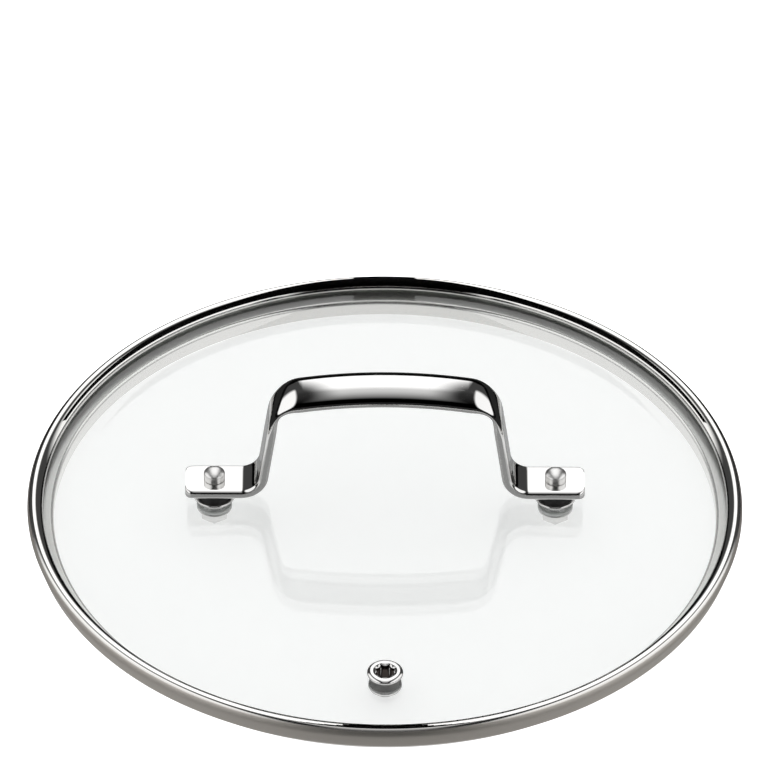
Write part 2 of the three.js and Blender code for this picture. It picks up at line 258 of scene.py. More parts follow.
def settle(name, material, node, body="root"):
    """Names the piece, lays its place into its mesh, and hands it to the frame."""
    piece = bpy.context.object
    piece.name = piece.data.name = name
    bpy.ops.object.transform_apply(location=True, rotation=True, scale=True)
    piece.data.materials.clear()
    piece.data.materials.append(material)
    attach(piece, body)
    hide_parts(node)
    return piece


def turn_sheet(line, steps):
    """An open sheet turned about Z: a circle extruded ring by ring along an (r, z) line."""
    start()
    r, z = line[0]
    bpy.ops.mesh.primitive_circle_add(
        vertices=steps, radius=r, location=(0, 0, 0), fill_type="NOTHING"
    )
    bpy.ops.object.mode_set(mode="EDIT")
    bpy.ops.mesh.select_mode(type="EDGE")
    bpy.ops.mesh.select_all(action="SELECT")
    bpy.ops.transform.translate(value=(0, 0, z))
    for next_r, next_z in line[1:]:
        bpy.ops.mesh.extrude_edges_move(TRANSFORM_OT_translate={"value": (0, 0, next_z - z)})
        scale = max(next_r, 1e-9) / r
        bpy.ops.transform.resize(value=(scale, scale, 1), center_override=(0, 0, next_z))
        r, z = max(next_r, 1e-9), next_z


def turn_solid(outline, steps, angle=40):
    """A closed body turned about Z. The outline starts and ends on the axis, or joins up."""
    turn_sheet(outline, steps)
    close_up(angle)


def copy_along_x(name, node, shift):
    """A second, separate piece like the one in hand, moved along X."""
    source = bpy.context.object
    start()
    source.select_set(True)
    bpy.context.view_layer.objects.active = source
    bpy.ops.object.duplicate(linked=False)
    copy = bpy.context.object
    copy.name = copy.data.name = name
    bpy.ops.transform.translate(value=(shift, 0, 0))
    bpy.ops.object.transform_apply(location=True, rotation=False, scale=False)
    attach(copy, "root")
    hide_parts(node)
    return copy


def arc(cx, cz, rx, rz, start_deg, end_deg, steps):
    """Points of an arc, its first one left out."""
    points = []
    for i in range(1, steps + 1):
        a = math.radians(start_deg + (end_deg - start_deg) * i / steps)
        points.append((cx + rx * math.cos(a), cz + rz * math.sin(a)))
    return points


def smooth_step(value, low, high):
    t = min(max((value - low) / (high - low), 0), 1)
    return t * t * (3 - 2 * t)


# ---- material helpers -------------------------------------------------------------------


class Nodes:
    """A node tree with short calls for adding and joining nodes."""

    def __init__(self, tree):
        self.tree = tree

    def add(self, kind, **values):
        node = self.tree.nodes.new(kind)
        for name, value in values.items():
            setattr(node, name, value)
        return node

    def put(self, value, socket):
        if isinstance(value, bpy.types.NodeSocket):
            self.tree.links.new(value, socket)
        elif value is not None:
            socket.default_value = value

    def math(self, operation, a, b=None, c=None, clamp=False):
        node = self.add("ShaderNodeMath", operation=operation, use_clamp=clamp)
        for value, socket in zip((a, b, c), node.inputs):
            self.put(value, socket)
        return node.outputs[0]

    def fade(self, value, low, high, to_low=0.0, to_high=1.0, soft=True):
        kind = "SMOOTHSTEP" if soft else "LINEAR"
        node = self.add("ShaderNodeMapRange", interpolation_type=kind)
        for given, socket in zip((value, low, high, to_low, to_high), node.inputs):
            self.put(given, socket)
        return node.outputs[0]

    def mix(self, factor, a, b):
        node = self.add("ShaderNodeMix", data_type="RGBA")
        self.put(factor, node.inputs["Factor"])
        for value, socket in ((a, node.inputs[6]), (b, node.inputs[7])):
            if not isinstance(value, bpy.types.NodeSocket):
                value = (*value, 1.0) if len(value) == 3 else value
            self.put(value, socket)
        return node.outputs[2]

    def mapping(self, scale, turn=(0, 0, 0), source=None):
        if source is None:
            source = self.add("ShaderNodeTexCoord").outputs["Object"]
        node = self.add("ShaderNodeMapping")
        self.put(source, node.inputs["Vector"])
        node.inputs["Rotation"].default_value = turn
        node.inputs["Scale"].default_value = scale
        return node.outputs["Vector"]

    def noise(self, vector, scale, detail=2.0, roughness=0.5):
        node = self.add("ShaderNodeTexNoise")
        self.put(vector, node.inputs["Vector"])
        self.put(scale, node.inputs["Scale"])
        self.put(detail, node.inputs["Detail"])
        self.put(roughness, node.inputs["Roughness"])
        return node.outputs["Fac"]

    def parts(self, vector):
        node = self.add("ShaderNodeSeparateXYZ")
        self.put(vector, node.inputs[0])
        return node.outputs

    def reach(self, x, y):
        """Distance of a point from the middle, on the level."""
        square = self.math("ADD", self.math("MULTIPLY", x, x), self.math("MULTIPLY", y, y))
        return self.math("SQRT", square)

    def ramp(self, value, stops):
        """Levels of grey between (place, level) stops."""
        node = self.add("ShaderNodeValToRGB")
        self.put(value, node.inputs[0])
        elements = node.color_ramp.elements
        for i, (place, level) in enumerate(stops):
            stop = elements[i] if i < 2 else elements.new(place)
            stop.position = place
            stop.color = (level, level, level, 1)
        return node.outputs[0]

    def bump(self, height, strength, distance, normal=None):
        node = self.add("ShaderNodeBump")
        self.put(height, node.inputs["Height"])
        node.inputs["Strength"].default_value = strength
        node.inputs["Distance"].default_value = distance
        self.put(normal, node.inputs["Normal"])
        return node.outputs["Normal"]

    def group(self, tree, **values):
        node = self.add("ShaderNodeGroup")
        node.node_tree = tree
        for name, value in values.items():
            self.put(value, node.inputs[name.replace("_", " ")])
        return node.outputs


def new_group(name, inputs, outputs):
    """A shader node group with its named inputs and outputs."""
    tree = bpy.data.node_groups.new(name, "ShaderNodeTree")
    for label, kind, default in inputs:
        socket = tree.interface.new_socket(label, in_out="INPUT", socket_type=kind)
        if default is not None:
            socket.default_value = default
    for label, kind in outputs:
        tree.interface.new_socket(label, in_out="OUTPUT", socket_type=kind)
    return tree, tree.nodes.new("NodeGroupInput").outputs, tree.nodes.new("NodeGroupOutput").inputs


def brushed_group():
    """Fine lines run level round the piece, as a brushing wheel leaves them."""
    tree, given, out = new_group(
        "Brushed lines",
        [("Vector", "NodeSocketVector", None), ("Fineness", "NodeSocketFloat", 9000.0),
         ("Patchiness", "NodeSocketFloat", 0.4)],
        [("Lines", "NodeSocketFloat"), ("Tone", "NodeSocketFloat")],
    )
    n = Nodes(tree)
    x, y, z = n.parts(given["Vector"])
    radius = n.reach(x, y)
    combine = n.add("ShaderNodeCombineXYZ")
    n.put(n.math("MULTIPLY", x, 60.0), combine.inputs[0])
    n.put(n.math("MULTIPLY", y, 60.0), combine.inputs[1])
    n.put(n.math("MULTIPLY", n.math("ADD", z, radius), given["Fineness"]), combine.inputs[2])
    fine = n.noise(combine.outputs[0], 1.0, 3.0, 0.65)
    wide = n.add("ShaderNodeCombineXYZ")
    n.put(n.math("MULTIPLY", x, 22.0), wide.inputs[0])
    n.put(n.math("MULTIPLY", y, 22.0), wide.inputs[1])
    n.put(n.math("MULTIPLY", z, 520.0), wide.inputs[2])
    patches = n.noise(wide.outputs[0], 1.0, 2.0, 0.5)
    n.put(n.fade(fine, 0.3, 0.7), out["Lines"])
    toned = n.math("MULTIPLY", n.math("SUBTRACT", patches, 0.5), given["Patchiness"])
    n.put(n.math("ADD", toned, n.math("MULTIPLY_ADD", fine, 0.3, 0.35), clamp=True), out["Tone"])
    return tree


def handling_group():
    """Hair scratches from cloths and drawers, with faint smears between them."""
    tree, given, out = new_group(
        "Handling marks",
        [("Vector", "NodeSocketVector", None), ("Density", "NodeSocketFloat", 0.5)],
        [("Scratches", "NodeSocketFloat"), ("Smears", "NodeSocketFloat")],
    )
    n = Nodes(tree)
    layers = []
    for turn, scale in ((0.35, (180, 2600, 900)), (1.45, (2300, 150, 800)), (2.4, (210, 2900, 1000))):
        lines = n.noise(n.mapping(scale, (0.2, 0.1, turn), given["Vector"]), 1.0, 1.0, 0.4)
        where = n.noise(n.mapping((90, 90, 90), (turn, 0, 0), given["Vector"]), 1.0, 1.0)
        hair = n.fade(lines, 0.68, 0.74)
        layers.append(n.math("MULTIPLY", hair, n.fade(where, 0.5, 0.62)))
    both = n.math("MAXIMUM", n.math("MAXIMUM", layers[0], layers[1]), layers[2])
    n.put(n.math("MULTIPLY", both, given["Density"], clamp=True), out["Scratches"])
    smear = n.noise(n.mapping((38, 55, 60), (0, 0, 0.6), given["Vector"]), 1.0, 3.0, 0.55)
    n.put(n.fade(smear, 0.45, 0.75), out["Smears"])
    return tree


def grain_group():
    """The fine moulded grain of silicone, with a little dust that has settled in it."""
    tree, given, out = new_group(
        "Moulded grain",
        [("Vector", "NodeSocketVector", None), ("Fineness", "NodeSocketFloat", 4200.0)],
        [("Grain", "NodeSocketFloat"), ("Dust", "NodeSocketFloat")],
    )
    n = Nodes(tree)
    cells = n.add("ShaderNodeTexVoronoi")
    n.put(given["Vector"], cells.inputs["Vector"])
    n.put(given["Fineness"], cells.inputs["Scale"])
    n.put(cells.outputs["Distance"], out["Grain"])
    dust = n.noise(given["Vector"], 900.0, 3.0, 0.7)
    n.put(n.fade(dust, 0.58, 0.8), out["Dust"])
    return tree


def group_named(name, make):
    return bpy.data.node_groups.get(name) or make()


def new_material(name):
    """An empty material, its Principled shader joined to the output, and its nodes."""
    material = bpy.data.materials.new(name)
    material.use_nodes = True
    tree = material.node_tree
    tree.nodes.clear()
    n = Nodes(tree)
    shader = n.add("ShaderNodeBsdfPrincipled")
    tree.links.new(shader.outputs[0], n.add("ShaderNodeOutputMaterial").inputs[0])
    return material, n, shader.inputs


def polished_steel(name, tone, roughness=0.045):
    """Mirror polished stainless steel with hair scratches and faint smears."""
    material, n, shader = new_material(name)
    vector = n.mapping((1, 1, 1))
    marks = n.group(group_named("Handling marks", handling_group), Vector=vector, Density=0.7)
    cast = n.noise(vector, 45.0, 2.0)
    dull = tuple(c * 0.94 for c in tone)
    n.put(n.mix(n.fade(cast, 0.35, 0.7), tone, dull), shader["Base Color"])
    shader["Metallic"].default_value = 1.0
    rough = n.math("MULTIPLY_ADD", marks["Smears"], 0.03, roughness)
    n.put(n.math("MULTIPLY_ADD", marks["Scratches"], 0.12, rough), shader["Roughness"])
    ripple = n.bump(n.noise(vector, 130.0, 1.0), 0.05, 0.0002)
    n.put(n.bump(marks["Scratches"], 0.12, 0.00002, ripple), shader["Normal"])
    return material


def vent_steel(p):
    """Polished steel, painted dark inside the bore as painted shade in the hole."""
    material = polished_steel("Vent steel", tuple(bpy.context.scene.lid_handle.steel), 0.07)
    n = Nodes(material.node_tree)
    shader = next(node for node in n.tree.nodes if node.type == "BSDF_PRINCIPLED").inputs
    clean = shader["Base Color"].links[0].from_socket
    mapping = n.add("ShaderNodeMapping")
    n.put(n.add("ShaderNodeTexCoord").outputs["Object"], mapping.inputs["Vector"])
    mapping.inputs["Location"].default_value = (0, -VENT_Y, 0)
    x, y, z = n.parts(mapping.outputs["Vector"])
    radius = n.reach(x, y)
    # Painted shade: the steel is painted dark brown inside the bore, deepest down, where the hole
    # lies in shade.
    inside = n.fade(radius, p.bore + 0.3 * MM, p.bore + 0.6 * MM, 1.0, 0.0)
    deep = n.fade(z, VENT_BOX[1].z - 0.75 * MM, VENT_BOX[1].z - 0.4 * MM, 1.0, 0.0)
    bore_shade = n.math("MULTIPLY", inside, deep)
    n.put(n.mix(bore_shade, clean, (0.06, 0.05, 0.045)), shader["Base Color"])
    return material


def band_steel(p):
    """The band: a polished roll and flange, and a satin wall brushed round its length."""
    material, n, shader = new_material("Band steel")
    vector = n.mapping((1, 1, 1))
    x, y, z = n.parts(vector)
    radius = n.reach(x, y)
    wall_r = BAND_BOX[1].x - p.wall_lean - 0.3 * MM
    shoulder = BAND_BOX[1].z - 0.5 * MM
    outside = n.fade(radius, wall_r - 0.3 * MM, wall_r)
    below = n.fade(z, shoulder - 0.3 * MM, shoulder + 0.3 * MM, 1.0, 0.0)
    satin = n.math("MULTIPLY", outside, below)
    lines = n.group(group_named("Brushed lines", brushed_group), Vector=vector)
    marks = n.group(group_named("Handling marks", handling_group), Vector=vector, Density=0.6)
    darker = tuple(c * 0.8 for c in p.satin)
    brushed = n.mix(lines["Tone"], darker, p.satin)
    n.put(n.mix(satin, p.steel, brushed), shader["Base Color"])
    shader["Metallic"].default_value = 1.0
    wall_rough = n.math("MULTIPLY_ADD", lines["Tone"], 0.14, 0.42)
    shader["Anisotropic"].default_value = 0.75
    shader["Anisotropic Rotation"].default_value = 0.25
    n.put(n.add("ShaderNodeTangent", direction_type="RADIAL", axis="Z").outputs[0], shader["Tangent"])
    roll_rough = n.math("MULTIPLY_ADD", marks["Smears"], 0.03, 0.055)
    rough = n.add("ShaderNodeMix", data_type="FLOAT")
    for value, socket in ((satin, rough.inputs[0]), (roll_rough, rough.inputs[2]),
                          (wall_rough, rough.inputs[3])):
        n.put(value, socket)
    seat = n.fade(radius, 93.2 * MM, 93.6 * MM)
    seat = n.math("MULTIPLY", seat, n.fade(z, 6 * MM, 8 * MM, 0.32, 0.0))
    inside = n.math("SUBTRACT", 1.0, outside)
    pressed = n.math("MULTIPLY_ADD", seat, inside, rough.outputs[0])
    scratched = n.math("MULTIPLY_ADD", marks["Scratches"], 0.12, pressed)
    n.put(scratched, shader["Roughness"])
    height = n.math("MULTIPLY", lines["Lines"], satin)
    brushing = n.bump(height, 0.35, 0.00002)
    n.put(n.bump(marks["Scratches"], 0.1, 0.00002, brushing), shader["Normal"])
    return material


def tempered_glass(p):
    """Clear tempered glass: nearly white, greener at its ground edge, faintly wavy."""
    material, n, shader = new_material("Tempered glass")
    vector = n.mapping((1, 1, 1))
    x, y, z = n.parts(vector)
    radius = n.reach(x, y)
    edge = GLASS_BOX[1].x
    near_edge = n.fade(radius, edge - 2.5 * MM, edge - 0.6 * MM)
    n.put(n.mix(near_edge, p.tint, p.edge_tint), shader["Base Color"])
    shader["Metallic"].default_value = 0.0
    shader["Transmission Weight"].default_value = 1.0
    shader["IOR"].default_value = 1.52
    marks = n.group(group_named("Handling marks", handling_group), Vector=vector, Density=0.35)
    ground = n.fade(radius, edge - 1.3 * MM, edge - 0.7 * MM)
    haze = n.math("MULTIPLY_ADD", marks["Scratches"], 0.03, 0.004)
    n.put(n.math("MULTIPLY_ADD", ground, 0.2, haze), shader["Roughness"])
    waves = n.noise(n.mapping((9, 14, 12)), 1.0, 1.0)
    n.put(n.bump(waves, 0.04, 0.0006), shader["Normal"])
    return material


def silicone(name, tone):
    """Silicone rubber, matt, with a moulded grain and a trace of dust."""
    material, n, shader = new_material(name)
    vector = n.mapping((1, 1, 1))
    grain = n.group(group_named("Moulded grain", grain_group), Vector=vector)
    dusty = tuple(min(c + 0.03, 1) for c in tone)
    n.put(n.mix(grain["Dust"], tone, dusty), shader["Base Color"])
    n.put(n.math("MULTIPLY_ADD", grain["Dust"], 0.2, 0.5), shader["Roughness"])
    n.put(n.bump(grain["Grain"], 0.3, 0.00004), shader["Normal"])
    return material


def material_for(name, make, *values):
    return bpy.data.materials.get(name) or make(*values)


def polished(name="Polished steel", roughness=0.045):
    tone = tuple(bpy.context.scene.lid_handle.steel)
    return bpy.data.materials.get(name) or polished_steel(name, tone, roughness)


def washer_steel():
    return polished("Washer steel", 0.06)


def rubber(kind="silicone"):
    """Silicone in one of the three colours of the fixings' settings."""
    tone = tuple(getattr(bpy.context.scene.lid_fixings, kind))
    name = f"Silicone {kind}"
    return material_for(name, silicone, name, tone)


# ---- the pieces -------------------------------------------------------------------------


class LID_OT_glass(bpy.types.Operator):
    """Add the domed glass disc with its three holes"""

    bl_idname = "lid.glass"
    bl_label = "Glass disc"

    def execute(self, context):
        p = context.scene.lid_glass
        edge, turned_in = GLASS_BOX[1].x, GLASS_BOX[1].x - p.edge_round
        rings = [turned_in * i / 12 for i in range(1, 13)]
        outline = [(1e-9, glass_under(0))] + [(r, glass_under(r)) for r in rings]
        low, high = glass_under(edge) + p.edge_round, glass_top(edge) - p.edge_round
        outline += arc(turned_in, low, p.edge_round, p.edge_round, -90, 0, 5)
        outline += arc(turned_in, high, p.edge_round, p.edge_round, 0, 90, 5)
        outline += [(r, glass_top(r)) for r in reversed(rings[:-1])] + [(1e-9, glass_top(0))]
        turn_solid(outline, 256, 30)
        disc = context.object
        for x, y, radius in ((STUD_X, 0, p.stud_hole), (-STUD_X, 0, p.stud_hole),
                             (0, VENT_Y, p.vent_hole)):
            bpy.ops.object.select_all(action="DESELECT")
            bpy.ops.mesh.primitive_cylinder_add(
                vertices=64, radius=radius, depth=0.05, location=(x, y, GLASS_BOX[1].z)
            )
            drill = context.object
            context.view_layer.objects.active = disc
            bpy.ops.object.modifier_add(type="BOOLEAN")
            disc.modifiers[-1].object = drill
            disc.modifiers[-1].solver = "EXACT"
            bpy.ops.object.modifier_apply(modifier=disc.modifiers[-1].name)
            bpy.data.objects.remove(drill)
        disc.select_set(True)
        context.view_layer.objects.active = disc
        bpy.ops.object.shade_smooth_by_angle(angle=math.radians(30))
        material = material_for("Tempered glass", tempered_glass, p)
        settle("lid_glass", material, "glass_disc")
        return {"FINISHED"}


def band_line(p):
    """The middle of the band's sheet in (r, z), from the lip's tip to the hem's free leaf."""
    wall_r = BAND_BOX[1].x - p.sheet / 2
    crest_r, roll_z = wall_r - p.roll_out, BAND_BOX[1].z - p.sheet / 2 - p.roll_rise
    line = [(crest_r - p.lip_reach, roll_z - 0.15 * MM), (crest_r - p.lip_reach, roll_z)]
    line += arc(crest_r, roll_z, p.lip_reach, p.roll_rise, 180, 90, 18)
    line += arc(crest_r, roll_z, p.roll_out, p.roll_rise, 90, 0, 14)
    foot_r, foot_z = wall_r - p.wall_lean, p.seat_height + p.seat_bend
    for i in range(1, 5):
        line.append((wall_r + (foot_r - wall_r) * i / 4, roll_z + (foot_z - roll_z) * i / 4))
    reach = 1.1 * MM
    for i in range(1, 9):
        t = i / 8
        r = (1 - t) ** 2 * foot_r + 2 * t * (1 - t) * (foot_r - 0.2 * MM) + t * t * (foot_r - reach)
        z = (1 - t) ** 2 * foot_z + (1 - (1 - t) ** 2) * p.seat_height
        line.append((r, z))
    bend = p.seat_bend
    line.append((p.flange_radius + bend, p.seat_height))
    line += arc(p.flange_radius + bend, p.seat_height - bend, bend, bend, 90, 180, 8)
    foot, curl = p.sheet / 2, 0.35 * MM
    line.append((p.flange_radius, foot + curl))
    line += arc(p.flange_radius + curl, foot + curl, curl, curl, 180, 270, 5)
    leaf = p.flange_radius + p.hem_fold
    line.append((leaf - curl, foot))
    line += arc(leaf - curl, foot + curl, curl, curl, -90, 0, 5)
    line.append((leaf, foot + p.hem_rise))
    return line


class LID_OT_band(bpy.types.Operator):
    """Add the rolled steel band, and give the bedding behind it its finish"""

    bl_idname = "lid.band"
    bl_label = "Steel band"

    def execute(self, context):
        p = context.scene.lid_band
        turn_sheet(band_line(p), 288)
        bpy.ops.mesh.select_all(action="SELECT")
        bpy.ops.mesh.remove_doubles(threshold=1e-7)
        bpy.ops.mesh.normals_make_consistent(inside=False)
        bpy.ops.object.mode_set(mode="OBJECT")
        modifier("SOLIDIFY", thickness=p.sheet, offset=0, use_even_offset=True)
        modifier("BEVEL", width=0.12 * MM, segments=2, limit_method="ANGLE",
                 angle_limit=math.radians(60))
        bpy.ops.object.shade_smooth_by_angle(angle=math.radians(40))
        settle("lid_band", material_for("Band steel", band_steel, p), "rim_band")
        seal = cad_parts["rim_seal"]
        seal.data.materials.clear()
        seal.data.materials.append(rubber("clear"))
        return {"FINISHED"}


# ---- the handle -------------------------------------------------------------------------


def handle_line(p):
    """Stations (x, z, out x, out z) of the right half, from the foot's end up."""
    foot_z = BOW_BOX[0].z + p.strap_thickness / 2
    grip_z = BOW_BOX[1].z - p.grip_thickness / 2
    lean = math.atan(p.leg_lean)
    leg = Vector((-math.sin(lean), math.cos(lean)))
    out = Vector((leg.y, -leg.x))
    foot_x = p.leg_place + p.foot_bend * math.tan((math.pi / 2 - lean) / 2)
    arch_z = grip_z - p.grip_arch
    offset = out.dot(Vector((p.leg_place, foot_z))) - p.top_bend
    away = offset - out.dot(Vector((0, arch_z)))
    along = math.sqrt((p.grip_arch - p.top_bend) ** 2 - away ** 2)
    top = Vector((0, arch_z)) + out * away + leg * along
    lift = math.atan2(top.y - arch_z, top.x)
    half = math.pi / 2
    stations = []

    def line(a, b, cuts):
        heading = (b - a).normalized()
        for t in cuts:
            place = a + (b - a) * t
            stations.append((place.x, place.y, heading.y, -heading.x))

    def bend(centre, radius, first, last, steps, outward):
        for i in range(steps):
            a = first + (last - first) * i / steps
            ray = Vector((math.cos(a), math.sin(a)))
            place = centre + ray * radius
            stations.append((place.x, place.y, ray.x * outward, ray.y * outward))

    end = Vector((BOW_BOX[1].x, foot_z))
    foot = Vector((foot_x, foot_z))
    size = (end - foot).length
    cuts = [p.foot_corner * (1 - math.cos(math.radians(a))) / size for a in range(0, 90, 15)]
    line(end, foot, cuts + [0.18, 0.32, 0.46, 0.6, 0.75, 0.88])
    foot_centre = foot + Vector((0, p.foot_bend))
    bend(foot_centre, p.foot_bend, -half, -math.pi + lean, 16, -1)
    leg_start = foot_centre - out * p.foot_bend
    leg_end = top + out * p.top_bend
    line(leg_start, leg_end, [i / 14 for i in range(14)])
    bend(top, p.top_bend, lean, lift, 16, 1)
    bend(Vector((0, arch_z)), p.grip_arch, lift, half, 26, 1)
    stations.append((0, grip_z, 0, 1))
    return stations


def strap_section(half_width, half_thickness, grip, edge):
    """Points round the section, from a flat strap with broken edges to a full oval grip."""
    points = []
    quarter = [(1.0, i / 3 * (1 - edge / half_thickness)) for i in range(3)]
    corner_x, corner_z = 1 - edge / half_width, 1 - edge / half_thickness
    for i in range(7):
        a = math.radians(15 * i)
        quarter.append((corner_x + math.cos(a) * edge / half_width,
                        corner_z + math.sin(a) * edge / half_thickness))
    quarter += [(corner_x * (1 - i / 4), 1.0) for i in range(1, 4)]
    count = len(quarter)
    for turn in range(4):
        for i in range(count):
            flip = turn % 2 == 1
            share_round = i / count
            angle = math.pi / 2 * (turn + share_round)
            x, z = quarter[i] if not flip else mirrored(quarter, i)
            sx = 1 if turn in (0, 3) else -1
            sz = 1 if turn in (0, 1) else -1
            oval_x = math.copysign(abs(math.cos(angle)) ** OVAL_POWER, math.cos(angle))
            oval_z = math.copysign(abs(math.sin(angle)) ** OVAL_POWER, math.sin(angle))
            points.append(((x * sx) * (1 - grip) + oval_x * grip,
                           (z * sz) * (1 - grip) + oval_z * grip))
    return points


def mirrored(quarter, i):
    """The same quarter walked the other way, from the top's middle to the side's."""
    return (0.0, 1.0) if i == 0 else quarter[len(quarter) - i]


class LID_OT_handle(bpy.types.Operator):
    """Add the bow handle, a bent strap that swells into a full grip"""

    bl_idname = "lid.handle"
    bl_label = "Bow handle"

    def execute(self, context):
        p = context.scene.lid_handle
        half = handle_line(p)
        line = half + [(-x, z, -ox, oz) for x, z, ox, oz in reversed(half[:-1])]
        rings = []
        for x, z, ox, oz in line:
            grip = 1 - smooth_step(abs(x), p.grip_half, p.grip_end)
            tuck = max(p.foot_corner - (BOW_BOX[1].x - abs(x)), 0)
            corner = p.foot_corner - math.sqrt(max(p.foot_corner ** 2 - tuck ** 2, 0))
            wide = (p.strap_width / 2 - corner) * (1 - grip) + p.grip_width / 2 * grip
            thick = p.strap_thickness / 2 * (1 - grip) + p.grip_thickness / 2 * grip
            edge = min(p.edge_break, thick * 0.75)
            top_z = BOW_BOX[1].z - p.grip_thickness
            oval = smooth_step(z, top_z - 9 * MM, top_z - 1 * MM) if abs(x) < 38 * MM else 0
            droop = p.grip_droop * grip
            ring = []
            for a, b in strap_section(wide, thick, max(grip, oval), edge):
                lift = b * (thick + droop if b > 0 else thick - droop) - droop
                ring.append(Vector((x + ox * lift, a * wide, z + oz * lift)))
            rings.append(ring)
        start()
        bpy.ops.mesh.primitive_circle_add(
            vertices=len(rings[0]), radius=p.strap_width / 2, fill_type="NGON"
        )
        bpy.ops.object.mode_set(mode="EDIT")
        bpy.ops.mesh.select_mode(type="VERT")
        bpy.ops.mesh.select_all(action="SELECT")
        for i, ring in enumerate(rings):
            if i:
                bpy.ops.mesh.extrude_region_move()
            mesh = bmesh.from_edit_mesh(context.object.data)
            mesh.verts.ensure_lookup_table()
            fresh = list(mesh.verts)[-len(ring):]
            for vert, place in zip(fresh, ring):
                vert.co = place
            bmesh.update_edit_mesh(context.object.data)
        close_up(35)
        settle("bow_strap", polished(), "bow_handle")
        return {"FINISHED"}


# ---- the handle's fixings ---------------------------------------------------------------


def fixing(name, node, outline, material, steps=72, angle=35):
    """One turned fixing on the axis, moved out to the right stud, and its twin on the left."""
    turn_solid(outline, steps, angle)
    place_pair(name, node, material)


def place_pair(name, node, material):
    bpy.context.object.location.x = STUD_X
    settle(f"{name}_right", material, f"{node}_right")
    twin = copy_along_x(f"{name}_left", f"{node}_left", -2 * STUD_X)


def washer_outline(inner, outer, low, high, ease):
    """A ring with eased edges, as a closed (r, z) outline."""
    line = [(inner, (low + high) / 2), (inner, low + ease)]
    line += arc(inner + ease, low + ease, ease, ease, 180, 270, 4)
    line.append((outer - ease, low))
    line += arc(outer - ease, low + ease, ease, ease, -90, 0, 4)
    line.append((outer, high - ease))
    line += arc(outer - ease, high - ease, ease, ease, 0, 90, 4)
    line.append((inner + ease, high))
    line += arc(inner + ease, high - ease, ease, ease, 90, 180, 4)
    line.append(line[0])
    return line


class LID_OT_fixings(bpy.types.Operator):
    """Add both studs with their cups, pads, washers and cap nuts"""

    bl_idname = "lid.fixings"
    bl_label = "Handle fixings"

    def execute(self, context):
        p = context.scene.lid_fixings
        self.stud(p)
        self.cup(p)
        self.pads(p)
        self.nut(p)
        for side in SIDES:
            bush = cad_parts[f"bush_{side}"]
            bush.data.materials.clear()
            bush.data.materials.append(rubber("clear"))
        return {"FINISHED"}

    def stud(self, p):
        top, low = STUD_BOX[1].z, STUD_BOX[0].z
        head = foot_top() + 0.05 * MM
        ease = 0.25 * MM
        dome = top - head - p.head_wall
        line = [(1e-9, low), (p.shank_radius - ease, low)]
        line += arc(p.shank_radius - ease, low + ease, ease, ease, -90, 0, 3)
        line += [(p.shank_radius, head), (p.head_radius - ease, head)]
        line += arc(p.head_radius - ease, head + ease, ease, ease, -90, 0, 4)
        line.append((p.head_radius, head + p.head_wall))
        line += arc(0, head + p.head_wall, p.head_radius, dome, 0, 90, 16)[:-1]
        line.append((1e-9, top))
        fixing("stud", "stud", line, polished("Stud steel", 0.3))

    def cup(self, p):
        low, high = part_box("cup_washer_right")
        inner, lip, ease = p.shank_radius + 0.3 * MM, p.pad_radius + 0.15 * MM, 0.3 * MM
        base = low.z + 0.3 * MM
        line = [(inner, base), (inner, low.z), (p.cup_radius - ease, low.z)]
        line += arc(p.cup_radius - ease, low.z + ease, ease, ease, -90, 0, 5)
        line.append((p.cup_radius, high.z - ease))
        line += arc(p.cup_radius - ease, high.z - ease, ease, ease, 0, 90, 5)
        line += [(lip, high.z), (lip, base), (inner, base)]
        fixing("cup", "cup_washer", line, washer_steel())

    def pads(self, p):
        for name, node, kind in (("foot_pad", "upper_pad", "silicone"),
                                 ("under_pad", "lower_pad", "clear")):
            low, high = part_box(f"{node}_right")
            radius = (high.y - low.y) / 2
            line = washer_outline(p.shank_radius + 0.3 * MM, radius, low.z, high.z, 0.3 * MM)
            fixing(name, node, line, rubber(kind))
        low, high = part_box("lower_washer_right")
        radius = (high.y - low.y) / 2
        line = washer_outline(p.shank_radius + 0.2 * MM, radius, low.z, high.z, 0.15 * MM)
        fixing("plain_washer", "lower_washer", line, washer_steel())

    def nut(self, p):
        """A hexagon that is drawn in below to a low dome, with eased edges."""
        low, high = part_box("cap_nut_right")
        corner = p.nut_flats / math.sqrt(3)
        start()
        middle, tall = (low.z + p.nut_dome + high.z) / 2, high.z - low.z - p.nut_dome
        bpy.ops.mesh.primitive_cylinder_add(
            vertices=6, radius=corner, depth=tall, location=(0, 0, 0), end_fill_type="NGON"
        )
        bpy.ops.object.mode_set(mode="EDIT")
        bpy.ops.transform.translate(value=(0, 0, middle))
        bpy.ops.mesh.bevel(offset=0.22 * MM, segments=3, affect="EDGES")
        select_where(lambda c: c.z < low.z + p.nut_dome + 1e-6)
        bpy.ops.mesh.inset(thickness=0.35 * MM)
        for share_in, drop in ((0.92, 0.45), (0.72, 0.28), (0.5, 0.16), (0.35, 0.07)):
            bpy.ops.mesh.extrude_region_move(
                TRANSFORM_OT_translate={"value": (0, 0, -p.nut_dome * drop)}
            )
            bpy.ops.transform.resize(value=(share_in, share_in, 1), center_override=(0, 0, 0))
        close_up(32)
        place_pair("acorn", "cap_nut", polished("Nut steel", 0.09))


def foot_top():
    return BOW_BOX[0].z + bpy.context.scene.lid_handle.strap_thickness


# ---- the vent ---------------------------------------------------------------------------


